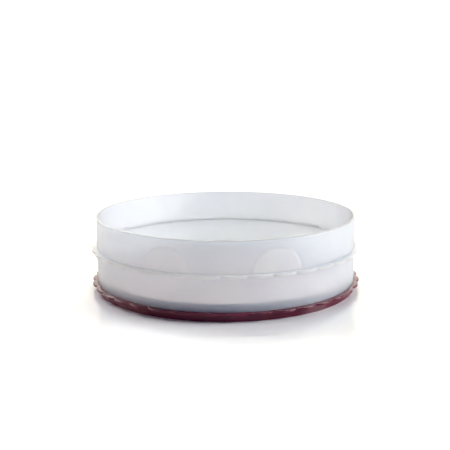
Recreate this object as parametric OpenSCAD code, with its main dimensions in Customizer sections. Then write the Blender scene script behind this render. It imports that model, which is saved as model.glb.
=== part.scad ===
// Round stacking mold for soft cheese or cheesecake: a tray with a raised plate, a plain lower
// ring that drops into the tray's rim, and an upper ring that stands on it by a scalloped flange.
// Millimetres, +Z up, origin at the middle of the tray's foot, front towards -Y.

/* [Rings] */
// Outer diameter of both ring walls
ring_d = 250; // [200:1:320]
// Wall thickness of both rings
wall_t = 1.8; // [1.4:0.1:2.4]
// Height of the whole mold above the table
mold_h = 70.5; // [66:0.1:90]
// Height at which the upper ring stands on the lower one
split_z = 39.5; // [30:0.1:42]
// Radial gap between the lower ring and the rims round it
fit_gap = 0.3; // [0.2:0.05:0.5]
// How far the bead at the top rim stands out from the wall
bead_reach = 0.4; // [0.2:0.1:0.8]
// Height of the bead at the top rim
bead_h = 2.4; // [1.6:0.1:4]
// How far the upper ring's flange reaches down round the lower ring
socket_h = 1.3; // [0.8:0.1:3]

/* [Scalloped edges] */
// Number of scallops round the flange and round the tray's rim
scallops = 36; // [24:1:48]
// How far the scallop crests stand out from the wall
rim_reach = 5.25; // [4.5:0.25:8]
// How far the cusps between scallops are cut back from the crests
cusp_depth = 2.6; // [1.5:0.1:3]
// How far the flange's edge stands up above the joint between the rings
flange_edge_h = 1.2; // [1:0.1:1.8]
// How much lower a scalloped edge is at its crests than at the wall
rim_fall = 0.7; // [0.2:0.1:1.2]

/* [Grip pads] */
// Radius of each half-round pad on the upper ring
pad_r = 23.7; // [15:0.1:25]
// Angle of a pad either side of the front and of the back
pad_angle = 22.5; // [16:0.5:35]
// How far the pads stand out from the wall
pad_t = 0.6; // [0.4:0.1:1]

/* [Tray] */
// Height of the rim where it meets the lower ring
tray_rim_z = 8.5; // [7.6:0.1:10]
// Height of the rim's scalloped edge
tray_edge_h = 1.8; // [1.2:0.1:2.4]
// Depth of the seat that the lower ring drops into
seat_depth = 1.9; // [1.4:0.1:2.6]
// Height of the raised plate that the mold is filled on
plate_z = 15.2; // [13:0.1:20]
// Wall thickness of the tray
tray_t = 2; // [1.6:0.1:2.4]
// How far the foot's outer face stands out from the ring walls
foot_reach = 1.3; // [1:0.1:2]
// Number of radial ribs under the plate
ribs = 12; // [6:1:18]
// Depth of the ribs under the plate
rib_depth = 5; // [3:0.5:7]
// Number of raised centring circles on the plate
guide_circles = 3; // [1:1:5]

/* [Hidden] */
$fn = 180;

ring_r = ring_d / 2;
bore_r = ring_r - wall_t;
socket_r = ring_r + fit_gap;
crest_r = ring_r + rim_reach;
cusp_r = crest_r - cusp_depth;
tray_seat_z = tray_rim_z - seat_depth;
flange_z = split_z - socket_h;
flange_edge_z = split_z + flange_edge_h;
plate_r = bore_r - fit_gap;

// A scallop is one arc through two neighbouring cusps and the crest between them
half_pitch = 180 / scallops;
half_chord = cusp_r * sin(half_pitch);
sagitta = crest_r - cusp_r * cos(half_pitch);
lobe_r = (half_chord * half_chord + sagitta * sagitta) / (2 * sagitta);
lobe_centre = crest_r - lobe_r;

edge_round = 0.9;
lead = 0.5;
flange_fillet = 0.6;
rib_t = 1.4;
hub_r = 9;
guide_w = 1.2;
guide_rise = 0.4;
guide_pitch = 30;

// Points of a round corner in the r-z plane, from angle a0 to a1
function corner(r, z, radius, a0, a1, steps = 4) =
    [for (i = [0:steps]) let (a = a0 + (a1 - a0) * i / steps) [r + radius * cos(a), z + radius * sin(a)]];

// Everything inside the scalloped outline, from z0 up to z1
module scallop_stock(z0, z1) {
    translate([0, 0, z0])
        linear_extrude(z1 - z0)
            union() {
                circle(r = (lobe_centre + cusp_r) / 2);
                for (i = [0:scallops - 1])
                    rotate((i + 0.5) * 2 * half_pitch)
                        translate([lobe_centre, 0])
                            circle(r = lobe_r);
            }
}

// Tray: foot, scalloped rim, seat for the lower ring, upstand and raised plate
module base_tray() {
    foot_r = ring_r + foot_reach;
    under_seat_z = tray_seat_z - tray_t;
    edge_top = tray_rim_z - rim_fall;
    edge_low = edge_top - tray_edge_h;
    profile = concat(
        [[0, plate_z - tray_t], [plate_r - tray_t, plate_z - tray_t]],
        [[plate_r - tray_t, under_seat_z], [foot_r - tray_t, under_seat_z]],
        [[foot_r - tray_t - 0.4, 0], [foot_r - 0.6, 0]],
        [[foot_r, edge_low - 0.6], [foot_r + 0.8, edge_low]],
        [[crest_r + 1, edge_low], [crest_r + 1, edge_top], [crest_r, edge_top]],
        [[socket_r + 0.3, tray_rim_z], [socket_r, tray_rim_z - 0.3]],
        [[socket_r, tray_seat_z], [plate_r, tray_seat_z]],
        corner(plate_r - edge_round, plate_z - edge_round, edge_round, 0, 90),
        [[0, plate_z]]
    );
    color([0.30, 0.07, 0.13])
        union() {
            intersection() {
                rotate_extrude()
                    polygon(profile);
                scallop_stock(-1, plate_z + 1);
            }
            plate_ribs();
            plate_circles();
        }
}

// Ribs and hub that stiffen the plate from below
module plate_ribs() {
    rib_z = plate_z - tray_t - rib_depth;
    translate([0, 0, rib_z])
        cylinder(h = rib_depth + tray_t / 2, r = hub_r);
    for (i = [0:ribs - 1])
        rotate(i * 360 / ribs)
            translate([hub_r / 2, -rib_t / 2, rib_z])
                cube([plate_r - tray_t / 2 - hub_r / 2, rib_t, rib_depth + tray_t / 2]);
}

// Low circles on the plate, for setting its filling in the middle
module plate_circles() {
    for (i = [1:guide_circles])
        rotate_extrude()
            translate([i * guide_pitch, plate_z - guide_rise])
                square([guide_w, 2 * guide_rise]);
}

// Lower ring: plain wall with chamfered edges, the same either way up
module lower_ring() {
    profile = [
        [bore_r + lead, tray_seat_z],
        [ring_r - lead, tray_seat_z],
        [ring_r, tray_seat_z + lead],
        [ring_r, split_z - lead],
        [ring_r - lead, split_z],
        [bore_r + lead, split_z],
        [bore_r, split_z - lead],
        [bore_r, tray_seat_z + lead],
    ];
    color([0.86, 0.88, 0.91])
        rotate_extrude()
            polygon(profile);
}

// Upper ring: wall with a bead at the rim and a scalloped flange that locates it on the lower ring
module upper_ring() {
    bead_r = ring_r + bead_reach;
    flange_top = flange_edge_z + rim_fall;
    profile = concat(
        [[bore_r + lead, split_z], [socket_r, split_z], [socket_r, flange_z]],
        [[crest_r + 1, flange_z], [crest_r + 1, flange_edge_z], [crest_r, flange_edge_z]],
        [[ring_r + flange_fillet, flange_top], [ring_r, flange_top + flange_fillet]],
        [[ring_r, mold_h - bead_h - bead_reach], [bead_r, mold_h - bead_h]],
        corner(bead_r - edge_round, mold_h - edge_round, edge_round, 0, 90),
        [[bore_r + lead, mold_h], [bore_r, mold_h - lead], [bore_r, split_z + lead]]
    );
    color([0.88, 0.90, 0.93])
        union() {
            intersection() {
                rotate_extrude()
                    polygon(profile);
                scallop_stock(flange_z - 1, mold_h + 1);
            }
            for (side = [0, 180], angle = [-pad_angle, pad_angle])
                rotate(side + angle)
                    grip_pad();
        }
}

// One half-round pad on the front of the wall, rising from the flange
module grip_pad() {
    pad_z = split_z + flange_edge_h / 2;
    intersection() {
        translate([0, 0, pad_z])
            difference() {
                cylinder(h = pad_r + 1, r = ring_r + pad_t);
                translate([0, 0, -1])
                    cylinder(h = pad_r + 3, r = ring_r - wall_t / 2);
            }
        translate([0, 0, pad_z])
            rotate([90, 0, 0])
                cylinder(h = ring_d, r = pad_r);
    }
}

base_tray();
lower_ring();
upper_ring();
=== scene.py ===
"""Looks of the round stacking ring mold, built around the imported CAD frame."""
import math

import bmesh
import bpy
from mathutils import Matrix, Vector


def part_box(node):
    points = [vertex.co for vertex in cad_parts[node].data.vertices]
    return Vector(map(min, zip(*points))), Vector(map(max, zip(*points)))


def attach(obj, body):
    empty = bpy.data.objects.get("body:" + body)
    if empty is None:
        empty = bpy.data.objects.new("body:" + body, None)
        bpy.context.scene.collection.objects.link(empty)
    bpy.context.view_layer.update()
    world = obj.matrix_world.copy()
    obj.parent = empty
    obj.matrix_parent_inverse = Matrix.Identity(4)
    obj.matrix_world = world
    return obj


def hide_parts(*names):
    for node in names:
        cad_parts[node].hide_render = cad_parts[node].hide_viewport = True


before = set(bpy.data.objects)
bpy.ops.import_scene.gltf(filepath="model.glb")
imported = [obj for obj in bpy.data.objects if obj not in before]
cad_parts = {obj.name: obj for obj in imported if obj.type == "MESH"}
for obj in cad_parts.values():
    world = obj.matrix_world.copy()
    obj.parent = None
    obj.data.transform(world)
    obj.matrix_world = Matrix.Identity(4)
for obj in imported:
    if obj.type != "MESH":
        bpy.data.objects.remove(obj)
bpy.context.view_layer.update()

MM = 0.001

# Sizes that the CAD nodes' boxes give
TRAY_LOW, TRAY_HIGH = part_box("base_tray")
LOWER_LOW, LOWER_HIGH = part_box("lower_ring")
UPPER_LOW, UPPER_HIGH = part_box("upper_ring")
FLOOR_Z = TRAY_LOW.z
MOLD_TOP = UPPER_HIGH.z
SPLIT_Z = LOWER_HIGH.z
FLANGE_Z = UPPER_LOW.z
TRAY_SEAT_Z = LOWER_LOW.z
RING_R = LOWER_HIGH.x

# Sizes that the boxes don't show, as in the CAD source
BEAD_REACH = 0.4 * MM
BEAD_H = 2.4 * MM
SEAT_DEPTH = 1.9 * MM
FLANGE_FILLET = 0.6 * MM
WALL_T = 1.8 * MM
FIT_GAP = 0.3 * MM
RIM_REACH = 5.25 * MM
CUSP_DEPTH = 2.6 * MM
FLANGE_EDGE_H = 1.2 * MM
TRAY_EDGE_H = 1.8 * MM
RIM_FALL = 0.7 * MM
GUIDE_RISE = 0.4 * MM
GUIDE_W = 1.2 * MM
GUIDE_PITCH = 30 * MM
GUIDES = 3
TRAY_T = 2 * MM
FOOT_REACH = 1.3 * MM
RIB_DEPTH = 5 * MM
RIB_T = 1.4 * MM
RIBS = 12
HUB_R = 9 * MM
PAD_R = 23.7 * MM
PAD_T = 0.6 * MM
PAD_ANGLE = math.radians(22.5)
SCALLOPS = 36

BEAD_R = RING_R + BEAD_REACH
BORE_R = RING_R - WALL_T
SOCKET_R = RING_R + FIT_GAP
CREST_R = RING_R + RIM_REACH
CUSP_R = CREST_R - CUSP_DEPTH
PLATE_R = BORE_R - FIT_GAP
PLATE_Z = TRAY_HIGH.z - GUIDE_RISE
TRAY_RIM_Z = TRAY_SEAT_Z + SEAT_DEPTH
FLANGE_EDGE_Z = SPLIT_Z + FLANGE_EDGE_H
FLANGE_TOP_Z = FLANGE_EDGE_Z + RIM_FALL
PAD_Z = SPLIT_Z + FLANGE_EDGE_H / 2

# How milky the pads are, on the scale where the scallop crests are 1
PAD_MILK = 0.3
# Fineness of the meshes: points round a turned piece, and rows up the wall behind the pads
AROUND = SCALLOPS * 24
PAD_AROUND = SCALLOPS * 30
PAD_ROWS = 36
HUB_AROUND = 96
# Width of the soft edge round a pad
PAD_SOFT = 2.2 * MM
# Distance from a rounded corner to the point that keeps the flat beside it flat, and the least that fits one
HOLD = 0.25 * MM
HOLD_LEAST = 0.02 * MM


# ---------------------------------------------------------------- shapes

def scallop_radius(angle):
    """Radius of the scalloped outline, with slightly softened cusps at multiples of the pitch."""
    half_pitch = math.pi / SCALLOPS
    half_chord = CUSP_R * math.sin(half_pitch)
    sagitta = CREST_R - CUSP_R * math.cos(half_pitch)
    lobe_r = (half_chord ** 2 + sagitta ** 2) / (2 * sagitta)
    lobe_centre = CREST_R - lobe_r
    off = (angle + math.pi / 2) % (2 * half_pitch) - half_pitch
    soft = 0.045 * half_pitch
    phi = half_pitch - math.hypot(half_pitch - abs(off), soft)
    return lobe_centre * math.cos(phi) + math.sqrt(lobe_r ** 2 - (lobe_centre * math.sin(phi)) ** 2)


def rounded(corners, steps=4):
    """Turns corners (r, z, rounding, scallop share) into an outline that has an arc at each of them."""
    out = []
    count = len(corners)
    for i, (r, z, radius, share) in enumerate(corners):
        here = Vector((r, z))
        before = Vector(corners[i - 1][:2]) - here
        after = Vector(corners[(i + 1) % count][:2]) - here
        if radius == 0:
            out.append((r, z, share))
            continue
        d0, d1 = before.normalized(), after.normalized()
        opening = d0.angle(d1)
        back = min(radius / math.tan(opening / 2), before.length * 0.48, after.length * 0.48)
        arc_r = back * math.tan(opening / 2)
        centre = here + (d0 + d1).normalized() * math.hypot(back, arc_r)
        start, end = here + d0 * back - centre, here + d1 * back - centre
        turn = math.atan2(start.x * end.y - start.y * end.x, start.dot(end))
        hold_a = min(HOLD, before.length * 0.5 - back)
        hold_b = min(HOLD, after.length * 0.5 - back)
        if hold_a > HOLD_LEAST:
            p = here + d0 * (back + hold_a)
            out.append((p.x, p.y, share))
        for k in range(steps + 1):
            a = turn * k / steps
            p = centre + Vector((start.x * math.cos(a) - start.y * math.sin(a),
                                 start.x * math.sin(a) + start.y * math.cos(a)))
            out.append((p.x, p.y, share))
        if hold_b > HOLD_LEAST:
            p = here + d1 * (back + hold_b)
            out.append((p.x, p.y, share))
    return out


def new_piece(name, verts, faces, material, body, milk=None):
    """Adds a mesh piece to a body; milk says how much thicker and whiter each point's plastic is."""
    mesh = bpy.data.meshes.new(name)
    mesh.from_pydata(verts, [], faces)
    if milk is not None:
        mesh.attributes.new("milk", "FLOAT", "POINT").data.foreach_set("value", milk)
    work = bmesh.new()
    work.from_mesh(mesh)
    bmesh.ops.recalc_face_normals(work, faces=work.faces)
    work.to_mesh(mesh)
    work.free()
    mesh.shade_smooth()
    mesh.materials.append(material)
    piece = bpy.data.objects.new(name, mesh)
    bpy.context.scene.collection.objects.link(piece)
    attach(piece, body)
    return piece


def lathe(name, outline, material, body, around=AROUND, bulge=None):
    """Turns a closed outline of (r, z, scallop share) round Z; points at r = 0 become a disc's poles."""
    verts, rows, milk = [], [], []
    angles = [-math.pi / 2 + 2 * math.pi * j / around for j in range(around)]
    for r, z, share in outline:
        if r < 1e-6:
            rows.append([len(verts)] * around)
            verts.append((0, 0, z))
            milk.append(0.0)
            continue
        rows.append(range(len(verts), len(verts) + around))
        for angle in angles:
            lift = bulge(r, z, angle) if bulge is not None else 0.0
            radius = r + share * (scallop_radius(angle) - CREST_R) + lift
            verts.append((radius * math.cos(angle), radius * math.sin(angle), z))
            milk.append(max(share, PAD_MILK * lift / PAD_T))
    faces = []
    for i, low in enumerate(rows):
        high = rows[(i + 1) % len(rows)]
        if low[0] == low[1] and high[0] == high[1]:
            continue
        for j in range(around):
            k = (j + 1) % around
            # Beside a pole two of the four corners are the same point, which leaves a triangle
            faces.append(list(dict.fromkeys((low[j], low[k], high[k], high[j]))))
    return new_piece(name, verts, faces, material, body, milk)


def smoothstep(low, high, x):
    """Rises smoothly from 0 at low to 1 at high."""
    t = min(1.0, max(0.0, (x - low) / (high - low)))
    return t * t * (3 - 2 * t)


def pad_height(r, z, angle):
    """How far a grip pad lifts the upper ring's outer wall at this place."""
    if abs(r - RING_R) > 0.05 * MM or z < FLANGE_TOP_Z or z > PAD_Z + PAD_R + 1 * MM:
        return 0.0
    lift = 0.0
    for side in (-math.pi / 2, math.pi / 2):
        for lean in (-PAD_ANGLE, PAD_ANGLE):
            off = (angle - side - lean + math.pi) % (2 * math.pi) - math.pi
            distance = math.hypot(off * RING_R, z - PAD_Z)
            lift = max(lift, smoothstep(0, PAD_SOFT, PAD_R - distance))
    return PAD_T * lift


def along(p, q, count):
    """Points from p to q, ends left out, for a wall that is pushed out in places."""
    return [tuple(a + (b - a) * k / count for a, b in zip(p, q)) for k in range(1, count)]


# ---------------------------------------------------------------- materials

def node(tree, kind, **values):
    """Adds a node and sets its properties, or its inputs by name."""
    made = tree.nodes.new(kind)
    for key, value in values.items():
        if hasattr(made, key):
            setattr(made, key, value)
        else:
            made.inputs[key.replace("_", " ")].default_value = value
    return made


def noise(tree, coords, scale, detail=3.0, roughness=0.5):
    """Noise with so many waves to the metre."""
    made = node(tree, "ShaderNodeTexNoise", Scale=scale, Detail=detail, Roughness=roughness)
    tree.links.new(coords, made.inputs["Vector"])
    return made.outputs["Fac"]


def ramp(tree, fac, low, high):
    """Colour that goes from low to high over the middle of the noise's range."""
    made = tree.nodes.new("ShaderNodeValToRGB")
    first, last = made.color_ramp.elements
    first.position, first.color = 0.35, (*low, 1)
    last.position, last.color = 0.65, (*high, 1)
    tree.links.new(fac, made.inputs["Fac"])
    return made.outputs["Color"]


def blend(tree, fac, first, colour):
    """Mixes a colour socket with a plain colour."""
    made = node(tree, "ShaderNodeMix", data_type="RGBA")
    # The node has sockets of every type under the same names, so the colour ones go by number
    tree.links.new(fac, made.inputs[0])
    tree.links.new(first, made.inputs[6])
    made.inputs[7].default_value = (*colour, 1)
    return made.outputs[2]


def remap(tree, value, low, high, to_low, to_high):
    """Maps a value socket from one range to another and holds it inside that range."""
    made = node(tree, "ShaderNodeMapRange", From_Min=low, From_Max=high, To_Min=to_low, To_Max=to_high)
    tree.links.new(value, made.inputs["Value"])
    return made.outputs["Result"]


def add_scaled(tree, value, extra, scale):
    """Adds one value socket to another after scaling it."""
    made = node(tree, "ShaderNodeMath", operation="MULTIPLY_ADD")
    tree.links.new(extra, made.inputs[0])
    made.inputs[1].default_value = scale
    tree.links.new(value, made.inputs[2])
    return made.outputs["Value"]


def bump(tree, height, distance, strength, normal=None):
    """Normal that follows a height, on top of another one if given."""
    made = node(tree, "ShaderNodeBump", Distance=distance, Strength=strength)
    tree.links.new(height, made.inputs["Height"])
    if normal is not None:
        tree.links.new(normal, made.inputs["Normal"])
    return made.outputs["Normal"]


def new_material(name):
    """Empty material, with its node tree, its main shader and the object's own coordinates."""
    material = bpy.data.materials.new(name)
    material.use_nodes = True
    tree = material.node_tree
    shader = tree.nodes["Principled BSDF"]
    coords = tree.nodes.new("ShaderNodeTexCoord").outputs["Object"]
    return material, tree, shader, coords


def frosted_plastic():
    """Natural polypropylene that lets blurred light through, milky where thick, with painted shade darkening
    the top of the lip.
    """
    material, tree, shader, coords = new_material("frosted_plastic")
    cloud = noise(tree, coords, 38, 4)
    grain = noise(tree, coords, 2600, 2, 0.6)
    wave = noise(tree, coords, 16, 2)
    milk = node(tree, "ShaderNodeAttribute", attribute_name="milk").outputs["Fac"]
    place = tree.nodes.new("ShaderNodeSeparateXYZ")
    tree.links.new(coords, place.inputs[0])
    # Painted shade: the top 0.9 mm of the ring is blended to a dark grey, so the rim's lit top land shows as
    # a dark line
    lip_painted_shade = remap(tree, place.outputs["Z"], MOLD_TOP - 0.9 * MM, MOLD_TOP - 0.2 * MM, 0, 1)
    thin = ramp(tree, cloud, (0.81, 0.855, 0.92), (0.84, 0.885, 0.95))
    body = blend(tree, milk, thin, (0.965, 0.965, 0.95))
    tree.links.new(blend(tree, lip_painted_shade, body, (0.50, 0.53, 0.57)), shader.inputs["Base Color"])
    tree.links.new(remap(tree, cloud, 0.3, 0.7, 0.35, 0.41), shader.inputs["Roughness"])
    tree.links.new(remap(tree, milk, 0, 1, 0.6, 0.5), shader.inputs["Transmission Weight"])
    shader.inputs["Subsurface Weight"].default_value = 1.0
    shader.inputs["Subsurface Radius"].default_value = (1.0, 1.0, 1.0)
    shader.inputs["Subsurface Scale"].default_value = 3 * MM
    shader.inputs["IOR"].default_value = 1.28
    first = bump(tree, wave, 0.25 * MM, 0.5)
    tree.links.new(bump(tree, grain, 0.02 * MM, 0.4, first), shader.inputs["Normal"])
    return material


def burgundy_plastic():
    """Dark red polypropylene with flow marks and scuffs, polished on its rim and satin on its plate."""
    material, tree, shader, coords = new_material("burgundy_plastic")
    cloud = noise(tree, coords, 30, 4)
    wave = noise(tree, coords, 22, 2)
    fine = noise(tree, coords, 900, 2, 0.6)
    colour = ramp(tree, cloud, (0.105, 0.007, 0.024), (0.135, 0.010, 0.033))
    tree.links.new(colour, shader.inputs["Base Color"])
    place = tree.nodes.new("ShaderNodeSeparateXYZ")
    tree.links.new(coords, place.inputs[0])
    satin = remap(tree, place.outputs["Z"], PLATE_Z - 2 * MM, PLATE_Z - 1 * MM, 0, 1)
    scuffs = remap(tree, fine, 0.3, 0.7, 0.04, 0.08)
    tree.links.new(add_scaled(tree, scuffs, satin, 0.25), shader.inputs["Roughness"])
    rim_low = TRAY_RIM_Z - 1.5 * RIM_FALL
    polish = remap(tree, place.outputs["Z"], rim_low, rim_low + RIM_FALL, 0.3, 0.8)
    tree.links.new(add_scaled(tree, polish, satin, -0.5), shader.inputs["Specular IOR Level"])
    shader.inputs["Subsurface Weight"].default_value = 0.05
    shader.inputs["Subsurface Radius"].default_value = (1.0, 0.25, 0.35)
    shader.inputs["Subsurface Scale"].default_value = 2 * MM
    shader.inputs["IOR"].default_value = 1.5
    tree.links.new(bump(tree, wave, 0.12 * MM, 0.4), shader.inputs["Normal"])
    return material


def floor_material():
    """White studio floor, glossy near the mold and dull further out, so that it mirrors no lights."""
    material, tree, shader, coords = new_material("studio_floor")
    distance = node(tree, "ShaderNodeVectorMath", operation="LENGTH")
    tree.links.new(coords, distance.inputs[0])
    gloss = remap(tree, distance.outputs["Value"], 1.5 * RING_R, 3 * RING_R, 0.5, 0)
    tree.links.new(gloss, shader.inputs["Specular IOR Level"])
    shader.inputs["Base Color"].default_value = (0.92, 0.92, 0.94, 1)
    shader.inputs["Roughness"].default_value = 0.09
    return material


# ---------------------------------------------------------------- pieces

def make_tray(material):
    """Foot, scalloped rim, seat and upstand of the tray, and its plate with the centring circles."""
    edge_top = TRAY_RIM_Z - RIM_FALL
    edge_low = edge_top - TRAY_EDGE_H
    under_seat_z = TRAY_SEAT_Z - TRAY_T
    foot_r = RING_R + FOOT_REACH
    guides = []
    for i in range(GUIDES, 0, -1):
        r = i * GUIDE_PITCH
        guides += [
            (r + GUIDE_W + 0.3 * MM, PLATE_Z, 0.2 * MM, 0),
            (r + GUIDE_W, PLATE_Z + GUIDE_RISE, 0.3 * MM, 0),
            (r, PLATE_Z + GUIDE_RISE, 0.3 * MM, 0),
            (r - 0.3 * MM, PLATE_Z, 0.2 * MM, 0),
        ]
    corners = [
        (0, PLATE_Z - TRAY_T, 0, 0),
        (PLATE_R - TRAY_T, PLATE_Z - TRAY_T, 0.8 * MM, 0),
        (PLATE_R - TRAY_T, under_seat_z, 0.5 * MM, 0),
        (foot_r - TRAY_T, under_seat_z, 0.8 * MM, 0),
        (foot_r - TRAY_T - 0.4 * MM, FLOOR_Z, 0.3 * MM, 0),
        (foot_r - 0.6 * MM, FLOOR_Z, 0.35 * MM, 0),
        (foot_r, edge_low - 0.6 * MM, 0.5 * MM, 0),
        (foot_r + 0.8 * MM, edge_low, 0.3 * MM, 0.2),
        (CREST_R, edge_low, 0.2 * MM, 1),
        (CREST_R, edge_top, 0.4 * MM, 1),
        (SOCKET_R, TRAY_RIM_Z, 0.3 * MM, 0),
        (SOCKET_R, TRAY_SEAT_Z, 0.2 * MM, 0),
        (PLATE_R, TRAY_SEAT_Z, 0.2 * MM, 0),
        (PLATE_R, PLATE_Z, 0.9 * MM, 0),
        *guides,
        (0, PLATE_Z, 0, 0),
    ]
    tray = lathe("tray_shell", rounded(corners), material, "tray")
    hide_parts("base_tray")
    return tray


def make_lower_ring(material):
    """Plain ring that stands on the tray's seat."""
    corners = [
        (BORE_R, TRAY_SEAT_Z, 0.4 * MM, 0),
        (RING_R, TRAY_SEAT_Z, 0.4 * MM, 0),
        (RING_R, SPLIT_Z, 0.4 * MM, 0),
        (BORE_R, SPLIT_Z, 0.1 * MM, 0),
    ]
    ring = lathe("lower_ring_wall", rounded(corners), material, "lower")
    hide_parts("lower_ring")
    return ring


def make_upper_ring(material):
    """Ring with the scalloped flange at its foot, the grip pads and the bead."""
    bead_low = MOLD_TOP - BEAD_H
    corners = [
        (BORE_R, SPLIT_Z, 0.1 * MM, 0),
        (SOCKET_R, SPLIT_Z, 0.1 * MM, 0),
        (SOCKET_R, FLANGE_Z, 0.2 * MM, 0),
        (CREST_R, FLANGE_Z, 0.35 * MM, 1),
        (CREST_R, FLANGE_EDGE_Z, 0.5 * MM, 1),
        (RING_R, FLANGE_TOP_Z, FLANGE_FILLET, 0),
        (RING_R, bead_low - BEAD_REACH, 0.6 * MM, 0),
        (BEAD_R, bead_low, 0.3 * MM, 0),
        (BEAD_R, MOLD_TOP, 0.35 * MM, 0),
        (BORE_R, MOLD_TOP, 0.35 * MM, 0),
    ]
    outline = rounded(corners)
    low = (RING_R, FLANGE_TOP_Z + 1 * MM, 0)
    high = (RING_R, PAD_Z + PAD_R + 0.5 * MM, 0)
    place = max(i for i, p in enumerate(outline) if p[1] < low[1] and abs(p[0] - RING_R) < 1e-6) + 1
    outline[place:place] = [low, *along(low, high, PAD_ROWS), high]
    ring = lathe("upper_ring_wall", outline, material, "upper", PAD_AROUND, pad_height)
    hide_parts("upper_ring")
    return ring


def box_mesh(verts, faces, centre_angle, low, high):
    """Adds a block that spans low to high in a frame turned by centre_angle about Z."""
    start = len(verts)
    c, s = math.cos(centre_angle), math.sin(centre_angle)
    for z in (low[2], high[2]):
        for x, y in ((low[0], low[1]), (high[0], low[1]), (high[0], high[1]), (low[0], high[1])):
            verts.append((x * c - y * s, x * s + y * c, z))
    for quad in ((0, 3, 2, 1), (4, 5, 6, 7), (0, 1, 5, 4), (1, 2, 6, 5), (2, 3, 7, 6), (3, 0, 4, 7)):
        faces.append([start + k for k in quad])


def make_ribs(material):
    """Ribs and hub under the plate, let into it a little so that no gap shows."""
    let_in = 0.5 * MM
    top = PLATE_Z - TRAY_T + let_in
    low = PLATE_Z - TRAY_T - RIB_DEPTH
    verts, faces = [], []
    for i in range(RIBS):
        angle = 2 * math.pi * i / RIBS
        inner = (HUB_R / 2, -RIB_T / 2, low)
        outer = (PLATE_R - TRAY_T + let_in, RIB_T / 2, top)
        box_mesh(verts, faces, angle, inner, outer)
    ribs = new_piece("tray_ribs", verts, faces, material, "tray")
    soften = ribs.modifiers.new("soften", "BEVEL")
    soften.width = 0.3 * MM
    soften.segments = 2
    chamfer = 0.5 * MM
    hub = [
        (0, low, 0),
        (HUB_R - chamfer, low, 0),
        (HUB_R, low + chamfer, 0),
        (HUB_R, top, 0),
        (0, top, 0),
    ]
    lathe("tray_hub", hub, material, "tray", HUB_AROUND)


# ---------------------------------------------------------------- stage

def make_floor():
    half = 4.0
    corners = ((-half, -half), (half, -half), (half, half), (-half, half))
    verts = [(x, y, FLOOR_Z) for x, y in corners]
    mesh = bpy.data.meshes.new("floor")
    mesh.from_pydata(verts, [], [(0, 1, 2, 3)])
    mesh.materials.append(floor_material())
    floor = bpy.data.objects.new("floor", mesh)
    bpy.context.scene.collection.objects.link(floor)


def make_camera():
    """Camera 6.4 wall radii in front of the axis, looking slightly down, 2 degrees round to the right."""
    yaw = math.radians(2)
    pitch = math.radians(11.714)
    roll = math.radians(-0.303)
    data = bpy.data.cameras.new("camera")
    data.sensor_width = 36
    data.lens = 67.07
    data.clip_start = 0.01
    data.clip_end = 50
    camera = bpy.data.objects.new("camera", data)
    place = Matrix.Rotation(yaw, 4, "Z") @ Matrix.Translation(
        Vector((-0.0045, -6.4249, 1.7954)) * RING_R)
    aim = Matrix.Rotation(math.pi / 2 - pitch, 4, "X") @ Matrix.Rotation(roll, 4, "Z")
    camera.matrix_world = place @ aim
    bpy.context.scene.collection.objects.link(camera)
    bpy.context.scene.camera = camera


def add_softbox(name, turn, height, width, power, colour):
    """A softbox far away: its turn from front to right, its height and its width are in degrees."""
    data = bpy.data.lights.new(name, "SUN")
    data.energy = power
    data.angle = math.radians(width)
    data.color = colour
    light = bpy.data.objects.new(name, data)
    tilt = Matrix.Rotation(math.radians(90 - height), 4, "X")
    light.matrix_world = Matrix.Rotation(math.radians(turn), 4, "Z") @ tilt
    bpy.context.scene.collection.objects.link(light)


def make_light():
    """Softboxes all round, and a world that the camera sees as white but that gives almost no light."""
    world = bpy.data.worlds.new("studio")
    world.use_nodes = True
    tree = world.node_tree
    sky = tree.nodes["Background"]
    sky.inputs["Color"].default_value = (0.96, 0.97, 1.0, 1)
    sky.inputs["Strength"].default_value = 0.01
    white = node(tree, "ShaderNodeBackground", Strength=1.2)
    white.inputs["Color"].default_value = (1, 1, 1, 1)
    mix = tree.nodes.new("ShaderNodeMixShader")
    rays = tree.nodes.new("ShaderNodeLightPath")
    tree.links.new(rays.outputs["Is Camera Ray"], mix.inputs[0])
    tree.links.new(sky.outputs[0], mix.inputs[1])
    tree.links.new(white.outputs[0], mix.inputs[2])
    tree.links.new(mix.outputs[0], tree.nodes["World Output"].inputs["Surface"])
    bpy.context.scene.world = world
    add_softbox("softbox_right_low", 90, 12, 34, 2.1, (1.0, 0.95, 0.91))
    add_softbox("softbox_right_high", 90, 38, 34, 1.85, (0.94, 0.97, 0.98))
    add_softbox("backdrop", 180, 12, 70, 1.5, (1.0, 0.94, 0.86))
    add_softbox("softbox_back", 180, 38, 34, 2.6, (1.0, 0.92, 0.64))
    add_softbox("softbox_back_left", 225, 38, 34, 2.15, (0.97, 0.97, 0.98))
    add_softbox("softbox_left", 270, 16, 40, 0.85, (1.0, 0.74, 0.67))
    add_softbox("softbox_front", 20, 12, 50, 0.52, (0.2, 0.42, 1.0))
    bpy.context.scene.view_settings.view_transform = "Standard"


frost = frosted_plastic()
burgundy = burgundy_plastic()
make_tray(burgundy)
make_ribs(burgundy)
make_lower_ring(frost)
make_upper_ring(frost)
make_floor()
make_camera()
make_light()
